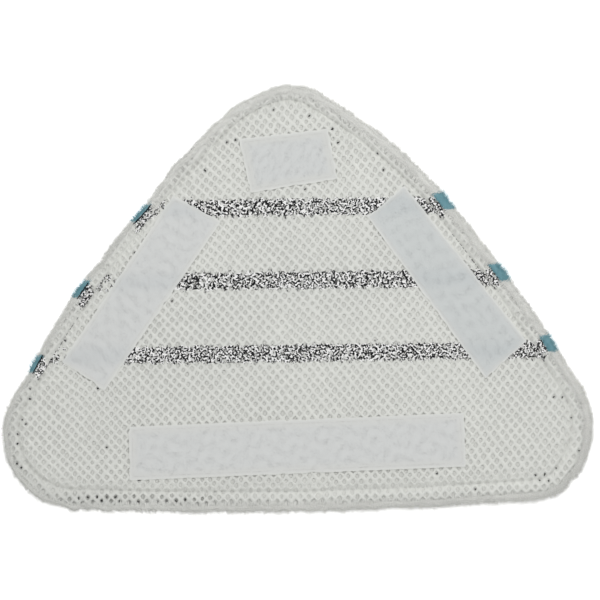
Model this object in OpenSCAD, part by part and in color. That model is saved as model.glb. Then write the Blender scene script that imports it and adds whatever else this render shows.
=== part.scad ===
// Triangular steam mop pad: a pile cloth and a mesh back sewn together, turned out and topstitched.
// It lies flat, pile down and mesh up. +X is across the wide end, +Y points at the tip, +Z is up.

/* [Pad] */
// Overall width, across the two wide corners
pad_w = 320; // [306:1:334]
// Overall length, from the wide end to the tip
pad_l = 233; // [223:1:243]

/* [Layers] */
// Length of the pile tufts under the ground cloth
pile_h = 5.5; // [4:0.5:8]
// Thickness of the knitted ground cloth
ground_t = 0.7; // [0.6:0.1:0.8]
// Thickness of the mesh sheet
mesh_t = 0.8; // [0.7:0.1:0.9]
// Thickness of a loop patch's tape, without its loops
tape_t = 0.7; // [0.6:0.1:0.9]
// Height of the brushed loops above the tape
loop_h = 1.0; // [0.9:0.1:1.4]

/* [Hem] */
// Width of the pile rim outside the mesh's folded edge
rim_w = 4.5; // [4.3:0.1:5]
// Distance of the topstitch line from the outer edge
topstitch_inset = 10.5; // [10.2:0.1:11]
// Height of the hem's crest above the mesh field
crest_h = 1.4; // [1.3:0.1:1.6]

/* [Scrub stripes] */
// Width of each scrub stripe
stripe_w = 9; // [7:0.5:12]
// Distance from one stripe's middle to the next
stripe_pitch = 39.5; // [34:0.5:42]
// Slant of the stripes to the wide end, in degrees
stripe_slant = 0.8; // [0:0.1:1.5]

/* [Loop patches] */
// Width of a patch's flat sewn margin, outside its brushed loops
patch_margin = 4; // [3:0.5:5]

/* [Stitches] */
// Distance from one stitch hole to the next
stitch_pitch = 3.2; // [3:0.1:4]
// Sewing thread diameter
thread_d = 0.3; // [0.25:0.05:0.35]

/* [Hidden] */

// Outline: six circles joined by long arcs that touch them, clockwise from the tip.
// Each row is the circle's x, y and radius, then the radius of the arc to the next circle.
corners = [
    [-4, 85, 30, 260],
    [3, -1, 95, 780],
    [117, -70, 43, 190],
    [129, -85, 25, 2120],
    [-119, -74, 41, 660],
    [10, 39, 78, 200]
];
step_angle = 7;
fewest_steps = 4;

// Heights of the layers
ground_z = pile_h;
field_z = ground_z + ground_t;
mesh_z = field_z + mesh_t;
crest_z = mesh_z + crest_h;
tape_z = mesh_z + tape_t;

// The two turned-in margins lie one on the other inside the hem
fold_gap = 0.1;
margin_t = 0.5;
margin_overlap = 2;
ground_margin_z = field_z + fold_gap;
mesh_margin_z = ground_margin_z + margin_t;
ground_margin_end = topstitch_inset - 1.5;
mesh_margin_end = topstitch_inset - 3;

// The topstitch pulls the mesh down to this height, over this half width
groove_z = mesh_z - 0.25;
groove_half = 0.5;

// The joining seam lies this far inside the mesh's folded edge
joining_inset = 2;

// The mesh was sewn a little off centre: its topstitch line lies this far from even
seam_shift = [-1.6, 1.8];

// Stripe places
stripe_mid_y = 10.2;
above_pile = 4;
backing_t = 0.3;
backing_inset = topstitch_inset + 1.2;

// Corners of the four hand-cut patches, clockwise, on a pad 320 wide and 233 long
tip_patch = [[-32, 86.5], [16, 92], [21.5, 65], [-25.5, 57.5]];
left_patch = [[-67.5, 56], [-41.5, 42], [-104.5, -49.5], [-127.5, -34]];
right_patch = [[37.5, 44.5], [57.5, 61.5], [123.5, -22.5], [101.5, -43]];
base_patch = [[-91.5, -69], [89.5, -61.5], [91, -90.5], [-91, -98]];

pile_white = [0.86, 0.86, 0.84];
mesh_white = [0.82, 0.82, 0.80];
patch_white = [0.80, 0.81, 0.81];
stripe_teal = [0.36, 0.55, 0.60];
yarn_grey = [0.30, 0.32, 0.33];
thread_white = [0.92, 0.92, 0.90];

// ---------------------------------------------------------------- outline

function next(i) = (i + 1) % len(corners);
function previous(i) = (i + len(corners) - 1) % len(corners);
function xy(v) = [v[0], v[1]];

// Middle of the long arc that leaves circle a and reaches circle b
function edge_middle(a, b) =
    let (gap = xy(b) - xy(a), span = norm(gap), along = gap / span)
    let (ra = a[3] - a[2], rb = a[3] - b[2])
    let (t = (ra * ra - rb * rb + span * span) / (2 * span), h = sqrt(ra * ra - t * t))
    xy(a) + along * t + [along[1], -along[0]] * h;

edge_middles = [for (i = [0:len(corners) - 1]) edge_middle(corners[i], corners[next(i)])];

function heading(from, to) = atan2(to[1] - from[1], to[0] - from[0]);
function turn(a, b) = (a - b + 360) % 360;
function on_circle(middle, r, a) = middle + r * [cos(a), sin(a)];
function steps(sweep) = max(fewest_steps, ceil(sweep / step_angle));

// Points of circle i, then of the arc after it, both moved inwards by inset
function corner_points(i, inset) =
    let (c = xy(corners[i]), start = heading(edge_middles[previous(i)], c))
    let (sweep = turn(start, heading(edge_middles[i], c)))
    let (n = steps(sweep))
    [for (k = [0:n]) on_circle(c, corners[i][2] - inset, start - sweep * k / n)];
function edge_points(i, inset) =
    let (m = edge_middles[i], start = heading(m, xy(corners[i])))
    let (sweep = turn(start, heading(m, xy(corners[next(i)]))))
    let (n = steps(sweep))
    [for (k = [1:n - 1]) on_circle(m, corners[i][3] - inset, start - sweep * k / n)];
function raw_ring(inset) =
    [for (i = [0:len(corners) - 1]) each concat(corner_points(i, inset), edge_points(i, inset))];

// The outline is centred and brought to the stated width and length
outer = raw_ring(0);
xs = [for (p = outer) p[0]];
ys = [for (p = outer) p[1]];
middle = [(max(xs) + min(xs)) / 2, (max(ys) + min(ys)) / 2];
fit_x = pad_w / (max(xs) - min(xs));
fit_y = pad_l / (max(ys) - min(ys));
function share(inset) = max(0, min(1, (inset - rim_w) / (topstitch_inset - rim_w)));
function ring(inset) =
    let (shift = seam_shift * share(inset))
    [for (p = raw_ring(inset))
        [(p[0] - middle[0]) * fit_x + shift[0], (p[1] - middle[1]) * fit_y + shift[1]]];
ring_n = len(outer);

// ---------------------------------------------------------------- shared shapes

// Closed sheet whose surface passes through rings [inset, z], from its top face to its bottom face
module ring_solid(profile) {
    last = len(profile) - 1;
    points = [for (p = profile) each [for (q = ring(p[0])) [q[0], q[1], p[1]]]];
    top = [for (i = [0:ring_n - 1]) i];
    bottom = [for (i = [0:ring_n - 1]) last * ring_n + ring_n - 1 - i];
    walls = [for (j = [0:last - 1], i = [0:ring_n - 1])
        let (a = j * ring_n + i, b = j * ring_n + (i + 1) % ring_n)
        each [[a, a + ring_n, b], [b, a + ring_n, b + ring_n]]];
    polyhedron(points, concat([top, bottom], walls), convexity = 6);
}

// Everything between two slanted lines across the pad, from height z0 to z1
module band(y0, y1, z0, z1) {
    rotate([0, 0, stripe_slant])
        translate([-pad_w, y0, z0])
            cube([2 * pad_w, y1 - y0, z1 - z0]);
}

function stripe_y(i) = stripe_mid_y + i * stripe_pitch;
function stripe_low(i) = stripe_y(i) - stripe_w / 2;
function stripe_high(i) = stripe_y(i) + stripe_w / 2;

// One straight stitch lying from point a to point b
module stitch(a, b, z) {
    lean = atan2(b[1] - a[1], b[0] - a[0]);
    translate([a[0], a[1], z])
        rotate([0, 90, lean])
            cylinder(h = norm(b - a), d = thread_d, $fn = 16);
}

// A row of stitches along a closed run of points, with a short gap at each needle hole
module stitch_run(path, z) {
    for (i = [0:len(path) - 1]) {
        a = path[i];
        b = path[(i + 1) % len(path)];
        count = max(1, round(norm(b - a) / stitch_pitch));
        for (k = [0:count - 1])
            stitch(a + (b - a) * (k + 0.12) / count, a + (b - a) * (k + 0.88) / count, z);
    }
}

// Points an even distance apart along the ring at this inset
function lengths(path) = [for (i = [0:len(path) - 1]) norm(path[(i + 1) % len(path)] - path[i])];
function running(v, i = 0, total = 0) =
    i == len(v) ? [total] : concat([total], running(v, i + 1, total + v[i]));
function even_ring(inset) =
    let (path = ring(inset), run = running(lengths(path)), total = run[len(path)])
    let (count = round(total / stitch_pitch))
    [for (k = [0:count - 1])
        let (s = total * k / count, i = max([for (j = [0:len(path) - 1]) run[j] <= s ? j : 0]))
        let (a = path[i], b = path[(i + 1) % len(path)])
        a + (b - a) * (s - run[i]) / (run[i + 1] - run[i])];

// ---------------------------------------------------------------- pile

// The whole pile: it hangs under the ground cloth and wraps up round the rim
module pile_body() {
    ring_solid([
        [topstitch_inset + 0.7, ground_z],
        [topstitch_inset + 0.6, ground_z - 0.4],
        [topstitch_inset - 0.6, ground_z - 0.4],
        [topstitch_inset - 0.7, ground_z],
        [rim_w + 0.2, ground_z],
        [rim_w - 0.8, ground_z + 0.3],
        [rim_w - 1.1, ground_z + 0.9],
        [rim_w - 0.8, ground_z + 1.5],
        [rim_w - 0.7, ground_z + 2.1],
        [rim_w - 1.4, ground_z + 2.5],
        [rim_w - 2.6, ground_z + 2.4],
        [1.0, ground_z + 1.8],
        [0.2, ground_z + 0.6],
        [0, ground_z - 1.2],
        [0.4, ground_z * 0.42],
        [1.4, ground_z * 0.14],
        [3.0, 0]
    ]);
}

module pile_zone(y0, y1) {
    intersection() {
        pile_body();
        band(y0, y1, -1, pile_h + above_pile);
    }
}

module tip_pile() {
    color(pile_white) pile_zone(stripe_high(1), pad_l);
}
module upper_pile() {
    color(pile_white) pile_zone(stripe_high(0), stripe_low(1));
}
module lower_pile() {
    color(pile_white) pile_zone(stripe_high(-1), stripe_low(0));
}
module base_pile() {
    color(pile_white) pile_zone(-pad_l, stripe_low(-1));
}
module scrub_stripe(i) {
    color(stripe_teal) pile_zone(stripe_low(i), stripe_high(i));
}

// ---------------------------------------------------------------- ground cloth

module ground_sheet() {
    ring_solid([
        [topstitch_inset + margin_overlap, field_z],
        [rim_w + 0.6, field_z],
        [rim_w + 0.3, field_z + fold_gap / 2],
        [rim_w + 0.6, ground_margin_z],
        [ground_margin_end, ground_margin_z],
        [ground_margin_end, mesh_margin_z],
        [rim_w + 0.2, mesh_margin_z],
        [rim_w - 0.7, mesh_margin_z - 0.2],
        [rim_w - 1.1, ground_z + 0.9],
        [rim_w - 0.8, ground_z + 0.3],
        [rim_w + 0.2, ground_z],
        [topstitch_inset + margin_overlap, ground_z]
    ]);
}

// Shape of the grey yarn band i, set flush into the top of the ground cloth
module backing_band(i, z1) {
    intersection() {
        band(stripe_low(i), stripe_high(i), field_z - backing_t, z1);
        linear_extrude(height = z1 + 1)
            polygon(ring(backing_inset));
    }
}

module pile_ground_cloth() {
    color(pile_white) difference() {
        ground_sheet();
        for (i = [-1:1]) backing_band(i, field_z + 1);
    }
}
module stripe_backing(i) {
    color(yarn_grey) backing_band(i, field_z);
}

// ---------------------------------------------------------------- mesh

module mesh_back() {
    sag = crest_h - 0.5;
    color(mesh_white) ring_solid([
        [topstitch_inset + 2.2, mesh_z],
        [topstitch_inset + groove_half, groove_z],
        [topstitch_inset - groove_half, groove_z],
        [topstitch_inset - 1.4, mesh_z + sag],
        [topstitch_inset - 2.8, crest_z - 0.1],
        [topstitch_inset - 4.0, crest_z],
        [rim_w + 1.1, crest_z - 0.2],
        [rim_w + 0.3, crest_z - 0.6],
        [rim_w - 0.1, mesh_margin_z + 0.6],
        [rim_w + 0.2, mesh_margin_z + 0.1],
        [rim_w + 0.7, mesh_margin_z],
        [mesh_margin_end, mesh_margin_z],
        [mesh_margin_end, mesh_margin_z + margin_t],
        [rim_w + 1.0, mesh_margin_z + margin_t],
        [rim_w + 0.8, mesh_margin_z + margin_t + 0.1],
        [rim_w + 1.1, mesh_margin_z + margin_t + 0.2],
        [topstitch_inset - 4.0, crest_z - 0.6],
        [topstitch_inset - 2.6, crest_z - 0.8],
        [topstitch_inset - 1.2, mesh_margin_z + 0.15],
        [topstitch_inset - 0.6, field_z],
        [topstitch_inset + 2.2, field_z]
    ]);
}

// ---------------------------------------------------------------- loop patches

function unit(v) = v / norm(v);

// The patch's outline, moved in by m from every edge, on a pad of the stated size
function patch_outline(patch, m = 0) =
    let (q = [for (p = patch) [p[0] * pad_w / 320, p[1] * pad_l / 233]])
    [for (i = [0:3])
        let (u = unit(q[(i + 1) % 4] - q[i]), v = unit(q[(i + 3) % 4] - q[i]))
        q[i] + (u + v) * m / abs(u[0] * v[1] - u[1] * v[0])];

// A patch cut from loop tape: a flat sewn margin with the brushed loops standing inside it
module loop_patch(patch) {
    color(patch_white) {
        translate([0, 0, mesh_z])
            linear_extrude(height = tape_t)
                polygon(patch_outline(patch));
        translate([0, 0, tape_z])
            linear_extrude(height = loop_h)
                polygon(patch_outline(patch, patch_margin));
    }
}

// The needle thread round a patch, on the middle of its sewn margin
module patch_stitching(patch) {
    color(thread_white)
        stitch_run(patch_outline(patch, patch_margin / 2), tape_z + thread_d / 2);
}

// ---------------------------------------------------------------- seams

module topstitch_needle_thread() {
    color(thread_white) stitch_run(even_ring(topstitch_inset), groove_z + thread_d / 2);
}
module topstitch_bobbin_thread() {
    color(thread_white) stitch_run(even_ring(topstitch_inset), ground_z - thread_d / 2);
}
module joining_seam_thread() {
    color(thread_white)
        stitch_run(even_ring(rim_w + joining_inset), mesh_margin_z + margin_t + thread_d / 2);
}

tip_pile();
scrub_stripe(1);  // scrub_stripe_tip
upper_pile();
scrub_stripe(0);  // scrub_stripe_middle
lower_pile();
scrub_stripe(-1);  // scrub_stripe_base
base_pile();
pile_ground_cloth();
stripe_backing(1);  // stripe_backing_tip
stripe_backing(0);  // stripe_backing_middle
stripe_backing(-1);  // stripe_backing_base
joining_seam_thread();
mesh_back();
topstitch_needle_thread();
topstitch_bobbin_thread();
loop_patch(tip_patch);  // tip_loop_patch
loop_patch(left_patch);  // left_loop_patch
loop_patch(right_patch);  // right_loop_patch
loop_patch(base_patch);  // base_loop_patch
patch_stitching(tip_patch);  // tip_patch_stitching
patch_stitching(left_patch);  // left_patch_stitching
patch_stitching(right_patch);  // right_patch_stitching
patch_stitching(base_patch);  // base_patch_stitching
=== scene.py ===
"""Triangular steam mop pad, mesh side up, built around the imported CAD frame.

Lengths in this file are millimetres until mesh_piece() turns them into metres.
"Inset" is a distance inwards from the pad's outline, and "along" is a distance round that outline.
"""
from math import atan, cos, pi, radians, sin, sqrt

import bmesh
import bpy
import numpy as np
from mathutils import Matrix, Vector


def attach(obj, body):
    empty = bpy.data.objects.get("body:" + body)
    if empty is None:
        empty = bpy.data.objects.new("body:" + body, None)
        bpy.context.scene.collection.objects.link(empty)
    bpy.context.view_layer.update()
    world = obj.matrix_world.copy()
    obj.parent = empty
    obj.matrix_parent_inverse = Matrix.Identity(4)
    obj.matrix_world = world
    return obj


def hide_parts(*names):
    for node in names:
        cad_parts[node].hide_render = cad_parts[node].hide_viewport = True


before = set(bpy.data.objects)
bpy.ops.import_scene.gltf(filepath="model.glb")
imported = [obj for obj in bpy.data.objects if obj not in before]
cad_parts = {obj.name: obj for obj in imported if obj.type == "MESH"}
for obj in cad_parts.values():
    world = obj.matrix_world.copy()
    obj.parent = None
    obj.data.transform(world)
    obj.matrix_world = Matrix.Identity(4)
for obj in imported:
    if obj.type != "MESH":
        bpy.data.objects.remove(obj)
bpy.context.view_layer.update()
MM = 0.001
scene = bpy.context.scene

# ---------------- sizes
SLANT = radians(0.8)      # the stripes' slant
FIELD_Z = 6.2                  # top of the ground cloth, which the net lies on
NET_T = 0.8                    # thickness of the net
GROOVE_UNDER = 5.70            # underside of the net in the topstitch groove
CREST_UNDER = 7.55             # underside of the net on the hem's crest
RIM_SHEAR = 0.026              # how far the pile's stripes slant more than the net side's
STITCH = 3.2                   # stitch length
HOLE_X, HOLE_Y = 2.40, 2.79    # half the net's pitch, across and along
FOLD_R = 0.28                  # inner radius of the net's folded edge
PRESS = 0.14                   # how far the ground cloth presses up into the net
GROUND_UNDER = 5.52            # underside of the ground cloth
TAPE_UNDER = 7.02              # underside of the patches' tape
PATCH_SEAM = 2.0               # how far inside its edge a patch is sewn
BOBBIN_Z, JOINING_Z = 5.35, 7.24    # heights of the bobbin thread and of the joining seam
CORE_RIM = 4.5                 # the rim width that the pile's core is drawn for
TUFT_START = 3.2               # how far inside the outline the floor side's tufts begin

WHITE_PILE = ["tip_pile", "upper_pile", "lower_pile", "base_pile"]
TEAL_PILE = ["scrub_stripe_tip", "scrub_stripe_middle", "scrub_stripe_base"]
BACKINGS = ["stripe_backing_tip", "stripe_backing_middle", "stripe_backing_base"]
PATCHES = ["tip", "left", "right", "base"]


# ---------------- reading the frame
def node_points(name):
    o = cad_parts[name]
    return np.array([o.matrix_world @ v.co for v in o.data.vertices], float) / MM


def hull(points):
    """Convex hull of 2-D points, anticlockwise."""
    pts = sorted(set((round(float(x), 4), round(float(y), 4)) for x, y in points[:, :2]))

    def half(run):
        out = []
        for p in run:
            while len(out) > 1 and (
                (out[-1][0] - out[-2][0]) * (p[1] - out[-2][1])
                - (out[-1][1] - out[-2][1]) * (p[0] - out[-2][0])
            ) <= 1e-9:
                out.pop()
            out.append(p)
        return out[:-1]

    return np.array(half(pts) + half(pts[::-1]))


def resample(loop, count):
    """Points an even distance apart on a closed loop, and the loop's length."""
    closed = np.vstack([loop, loop[:1]])
    run = np.concatenate([[0], np.cumsum(np.linalg.norm(np.diff(closed, axis=0), axis=1))])
    at = np.arange(count) * run[-1] / count
    return np.stack([np.interp(at, run, closed[:, k]) for k in range(2)], 1), run[-1]


def unit(v):
    return v / (np.linalg.norm(v, axis=-1)[..., None] + 1e-30)


def smooth_loop(values, width):
    """Circular Gaussian smoothing, width in samples."""
    k = np.arange(-4 * int(width) - 1, 4 * int(width) + 2)
    w = np.exp(-0.5 * (k / width) ** 2)
    w /= w.sum()
    return sum(wi * np.roll(values, ki, axis=0) for wi, ki in zip(w, k))


def slanted(x, y):
    """Height of a point across the stripes."""
    return y * cos(SLANT) - x * sin(SLANT)


def pile_slanted(x, y):
    """The same for the pile, whose stripes lie a little steeper than their backing."""
    return slanted(x, y) - RIM_SHEAR * x


LOOP_N = 900
pile_points = np.vstack([node_points(n) for n in WHITE_PILE + TEAL_PILE])
outline, perimeter = resample(hull(pile_points), LOOP_N)
outline = smooth_loop(outline, 2.5)
tangent = unit(np.roll(outline, -1, 0) - np.roll(outline, 1, 0))
inward = unit(smooth_loop(np.stack([-tangent[:, 1], tangent[:, 0]], 1), 2))
STEP = perimeter / LOOP_N

zone_limits = {}
for zone in WHITE_PILE + TEAL_PILE:
    v = slanted(*node_points(zone)[:, :2].T)
    zone_limits[zone] = [v.min(), v.max()]
zone_limits["tip_pile"][1] = 1e3
zone_limits["base_pile"][0] = -1e3
stripe_limits = [zone_limits[n] for n in TEAL_PILE]


def in_stripe(across):
    return np.any([(across > low) & (across < high) for low, high in stripe_limits], 0)


def at_loop(values, along):
    """A quantity known on the outline, at these distances along it."""
    f = np.mod(along / STEP, LOOP_N)
    i = f.astype(int) % LOOP_N
    t = f - np.floor(f)
    t = t if values.ndim == 1 else t[..., None]
    return values[i] * (1 - t) + values[(i + 1) % LOOP_N] * t


def locate(x, y):
    """Inset, and distance along the outline, of points."""
    p = np.stack([x, y], 1)
    inset, along = np.empty(len(p)), np.empty(len(p))
    for a in range(0, len(p), 4000):
        q = p[a:a + 4000]
        gap = ((q[:, None] - outline[None]) ** 2).sum(2)
        i = gap.argmin(1)
        off = q - outline[i]
        slide = (off * tangent[i]).sum(1)
        along[a:a + 4000] = i * STEP + slide
        inset[a:a + 4000] = (off * inward[i]).sum(1)
    return inset, np.mod(along, perimeter)


def along_at(x, y):
    """Distance along the outline of the point nearest to one place."""
    return locate(np.array([x]), np.array([y]))[1][0]


def place(along, inset, z):
    """Points at these distances along the outline, insets and heights."""
    p = at_loop(outline, along) + at_loop(inward, along) * inset[..., None]
    return np.concatenate([p, z[..., None]], -1)


def flat_place(along, inset):
    """The same on the flat."""
    return place(along, inset, np.zeros(len(along)))[:, :2]


# ---------------- noise
def loop_noise(seed, short, long, count=14):
    """Smooth noise of about unit size round the outline, between two wavelengths."""
    rng = np.random.default_rng(seed)
    waves = rng.integers(int(perimeter / long), int(perimeter / short) + 1, count)
    phase = rng.uniform(0, 2 * pi, count)
    weight = rng.uniform(0.5, 1, count)
    weight /= sqrt((weight ** 2).sum() / 2)

    def at(along):
        turn = np.asarray(along) * 2 * pi / perimeter
        return sum(w * np.sin(m * turn + f) for w, m, f in zip(weight, waves, phase))

    return at


def plane_noise(seed, short, long, count=14):
    """Smooth noise of about unit size over the plane, between two wavelengths."""
    rng = np.random.default_rng(seed)
    k = 2 * pi / rng.uniform(short, long, count)
    a = rng.uniform(0, 2 * pi, count)
    phase = rng.uniform(0, 2 * pi, count)
    weight = sqrt(2 / count)

    def at(x, y):
        return sum(
            weight * np.sin(ki * (x * cos(ai) + y * sin(ai)) + fi)
            for ki, ai, fi in zip(k, a, phase)
        )

    return at


def step(x, low, high):
    t = np.clip((x - low) / (high - low), 0, 1)
    return t * t * (3 - 2 * t)


def bell(x, middle, width):
    return np.exp(-0.5 * ((x - middle) / width) ** 2)


def away(a, b):
    """Shortest signed distance from b to a round the outline."""
    return np.mod(np.asarray(a) - b + perimeter / 2, perimeter) - perimeter / 2


# ---------------- lines round the pad
groove_loop, _ = resample(hull(node_points("topstitch_needle_thread")), 1800)
groove = np.array([np.sqrt(((groove_loop - q) ** 2).sum(1).min()) for q in outline])
groove = smooth_loop(groove, 5)

# How far the pile's rim shows outside the net's folded edge, at places chosen round the pad
RIM = [
    (0, 116, 5.6), (45, 85, 5.4), (95, 15, 5.2), (135, -40, 5.0), (158, -85, 4.6),
    (140, -108, 5.4), (105, -112, 5.0), (40, -112, 4.6), (-60, -113, 4.2), (-120, -112, 3.0),
    (-155, -90, 2.4), (-150, -55, 2.0), (-113, 7, 2.2), (-84, 46, 1.8), (-60, 75, 3.4),
]
places = [along_at(x, y) for x, y, _ in RIM]
rim = np.interp(np.arange(LOOP_N) * STEP, places, [w for _, _, w in RIM], period=perimeter)
rim = smooth_loop(rim, 14)

# Places where the soft edge bulges out or sinks in: x, y, how far out, and over what length
BULGES = [
    (-24, 110, -0.6, 3), (-68, 73, 1.0, 6), (-84, 50, -1.5, 8), (-107, 20, -0.9, 6), (-121, 4, 1.1, 11),
    (-147, -43, -0.6, 6),
]
bulges = [(along_at(x, y), far, long) for x, y, far, long in BULGES]

edge_wave = loop_noise(11, 14, 60, 18)
edge_ripple = loop_noise(12, 5, 11, 16)
NOTCH = along_at(149, -100)

# The wide end's edge is lumpier, and the net's edge lies bare at its right and along the left side
LUMPY, LUMPY_REACH = along_at(0, -113), 150
BARE_RIGHT = along_at(118, -112)
BARE_LEFT = along_at(-140, -45)


def wave(along):
    """How far the soft edge stands out from the even outline."""
    notch = 1.5 * bell(away(along, NOTCH), 0, 1.6) - 0.5 * bell(away(along, NOTCH), 6, 3)
    lumpy = step(LUMPY_REACH - np.abs(away(along, LUMPY)), 0, 40)
    return (0.16 + 0.12 * lumpy) * edge_wave(along) + (0.04 + 0.12 * lumpy) * edge_ripple(along) - notch


def bulge(along):
    """How far the whole edge bulges out, the net's folded edge going most of the way with it."""
    return sum(far * bell(away(along, at), 0, long) for at, far, long in bulges)


rim -= 0.7 * bulge(np.arange(LOOP_N) * STEP)


def bare(along):
    """1 where the net's folded edge lies bare, 0 where the pile leans over it."""
    right = step(75 - np.abs(away(along, BARE_RIGHT)), 0, 30)
    left = step(120 - np.abs(away(along, BARE_LEFT)), 0, 30)
    return np.maximum(right, left)


swell = plane_noise(21, 40, 120)
dimple = plane_noise(22, 12, 30, 20)


def lift(x, y):
    """The gentle unevenness that all the layers share."""
    return 0.13 * swell(x, y) + 0.05 * dimple(x, y)


pucker = loop_noise(31, 6, 16, 30)
pucker_fine = loop_noise(32, 3, 6, 30)
HEM_A = [0, 0.12, 0.28, 0.42, 0.58, 0.74, 0.86, 0.94, 1.0]
HEM_H = [0.78, 0.92, 0.99, 1.0, 0.93, 0.74, 0.42, 0.14, 0.0]
TUCK = along_at(131, -110)
PITTED = along_at(-87, -113)
# Where the painted shade on the hem is deepest
PAINTED_SHADE_CORNER = along_at(-140, -102)


def pitted(along):
    """1 where the hem is slack and its holes are deep, at the left of the wide end."""
    return step(48 - np.abs(away(along, PITTED)), 0, 14)


def net_under(x, y, inset, along):
    """Height of the net's underside."""
    g = at_loop(groove, along)
    r = at_loop(rim, along) + 0.6
    a = (inset - r) / (g - r)
    crest = CREST_UNDER + 0.10 * pucker(along)
    hem = GROOVE_UNDER + (crest - GROOVE_UNDER) * np.interp(a, HEM_A, HEM_H)
    hem = hem + 0.13 * pucker(along) * bell(a, 0.72, 0.16) + 0.07 * pucker_fine(along) * bell(a, 0.82, 0.10)
    dip = np.interp(inset - g, [0, 0.4, 1.0, 2.2, 4.2], [GROOVE_UNDER, 5.92, 6.26, 6.42, 6.27])
    dip = dip + 0.05 * pucker(along) * bell(inset - g, 2.6, 1.1)
    inner = np.where(inset < g + 4.2, dip, FIELD_Z + 0.07 * np.clip((g + 8 - inset) / 3.8, 0, 1))
    z = np.where(a < 1, hem, inner)
    hollow = bell(away(along, TUCK), 0, 4.5) * bell(inset, g + 0.5, 2.0)
    return z + lift(x, y) * step(inset, 3, 12) - 0.25 * hollow


# ---------------- meshes
def add_object(name, data):
    piece = bpy.data.objects.new(name, data)
    scene.collection.objects.link(piece)
    return piece


def mesh_piece(name, parts, material, slot, stands_for=(), **values):
    """One piece from parts, each with vertices in mm, a list of face arrays and perhaps normals.
    Further values, one for each vertex, go to the material under their names."""
    verts, faces, normals, base = [], [], [], 0
    for v, face_sets, *given in parts:
        verts.append(v)
        normals.append(given[0] if given else np.zeros_like(v))
        faces += [f + base for f in face_sets if len(f)]
        base += len(v)
    verts = np.vstack(verts) * MM
    mesh = bpy.data.meshes.new(name)
    corners = np.concatenate([f.ravel() for f in faces]).astype(np.int32)
    sizes = np.concatenate([np.full(len(f), f.shape[1]) for f in faces]).astype(np.int32)
    mesh.vertices.add(len(verts))
    mesh.vertices.foreach_set("co", verts.astype(np.float32).ravel())
    mesh.loops.add(len(corners))
    mesh.loops.foreach_set("vertex_index", corners)
    mesh.polygons.add(len(sizes))
    mesh.polygons.foreach_set("loop_start", np.concatenate([[0], np.cumsum(sizes)[:-1]]).astype(np.int32))
    mesh.polygons.foreach_set("loop_total", sizes)
    mesh.polygons.foreach_set("use_smooth", np.full(len(sizes), True))
    mesh.update(calc_edges=True)
    normals = np.vstack(normals)
    if normals.any():
        mesh.normals_split_custom_set_from_vertices(normals)
    for key, value in values.items():
        mesh.attributes.new(key, "FLOAT", "POINT").data.foreach_set("value", value.astype(np.float32))
    mesh.materials.append(material)
    piece = add_object(name, mesh)
    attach(piece, "root")
    if stands_for:
        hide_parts(*stands_for)
    return piece


def tubes(paths, radii, sides, facing=None):
    """Closed tubes along paths (count, points, 3), with radii of the same shape or one for all.
    Fine fibres take most of their shading from the surface they stand on, which faces this way."""
    n, k, _ = paths.shape
    radii = np.broadcast_to(radii, (n, k))
    along = unit(np.gradient(paths, axis=1))
    helper = np.where(np.abs(along[:, :1, 2:3]) < 0.8, [0, 0, 1.0], [1.0, 0, 0])
    u = unit(np.cross(along, helper))
    v = np.cross(along, u)
    angle = np.arange(sides) * 2 * pi / sides
    ring = u[:, :, None] * np.cos(angle)[:, None] + v[:, :, None] * np.sin(angle)[:, None]
    verts = (paths[:, :, None] + ring * radii[:, :, None, None]).reshape(-1, 3)
    index = np.arange(n * k * sides).reshape(n, k, sides)
    a, b = index[:, :-1], index[:, 1:]
    quads = np.stack([a, np.roll(a, -1, 2), np.roll(b, -1, 2), b], -1).reshape(-1, 4)
    caps = np.concatenate([index[:, 0, ::-1], index[:, -1]], 0)
    if facing is None:
        return verts, [quads, caps]
    return verts, [quads, caps], unit(facing[:, None, None, :] + 0.3 * ring).reshape(-1, 3)


def bits(x, y, heading, reach, k, z, radius, sides, sway=(0, 0), facing=None):
    """Short bits of yarn, each running through its place in its own direction at its own heights z.
    k says how far along its reach each point of a bit lies."""
    px = x[:, None] + (np.cos(heading) * reach)[:, None] * k + sway[0]
    py = y[:, None] + (np.sin(heading) * reach)[:, None] * k + sway[1]
    return tubes(np.stack([px, py, z], -1), radius, sides, facing)


def grid_faces(index, wrap=False):
    """Quads of a grid of vertex indices, closed along its second axis if wrap."""
    if wrap:
        index = np.concatenate([index, index[:, :1]], 1)
    return np.stack(
        [index[:-1, :-1], index[1:, :-1], index[1:, 1:], index[:-1, 1:]], -1
    ).reshape(-1, 4)


def two_sided(x, y, top, low):
    """Vertices of a sheet's top, then of its underside."""
    return np.vstack([np.stack([x, y, z], -1).reshape(-1, 3) for z in (top, np.broadcast_to(low, x.shape))])


def split_quads(verts, quads):
    """Each quad cut into four, on flat or curved coordinates alike."""
    edges = np.stack([quads, np.roll(quads, -1, 1)], -1).reshape(-1, 2)
    key, back = np.unique(np.sort(edges, 1), axis=0, return_inverse=True)
    mids = verts[key].mean(1)
    centres = verts[quads].mean(1)
    base = len(verts)
    e = back.reshape(-1, 4) + base
    c = np.arange(len(quads)) + base + len(mids)
    out = [np.stack([quads[:, k], e[:, k], c, e[:, (k + 3) % 4]], -1) for k in range(4)]
    return np.vstack([verts, mids, centres]), np.concatenate(out)


# ---------------- materials
def new_material(name, roughness, sheen, specular):
    """A material, its node tree, its shader and the point in the object that it is worked out at."""
    m = bpy.data.materials.new(name)
    m.use_nodes = True
    tree = m.node_tree
    shader = tree.nodes["Principled BSDF"]
    keys = ("Roughness", "Sheen Weight", "Sheen Roughness", "Specular IOR Level")
    for key, value in zip(keys, (roughness, sheen, 0.5, specular)):
        shader.inputs[key].default_value = value
    return m, tree, shader, tree.nodes.new("ShaderNodeTexCoord").outputs["Object"]


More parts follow.
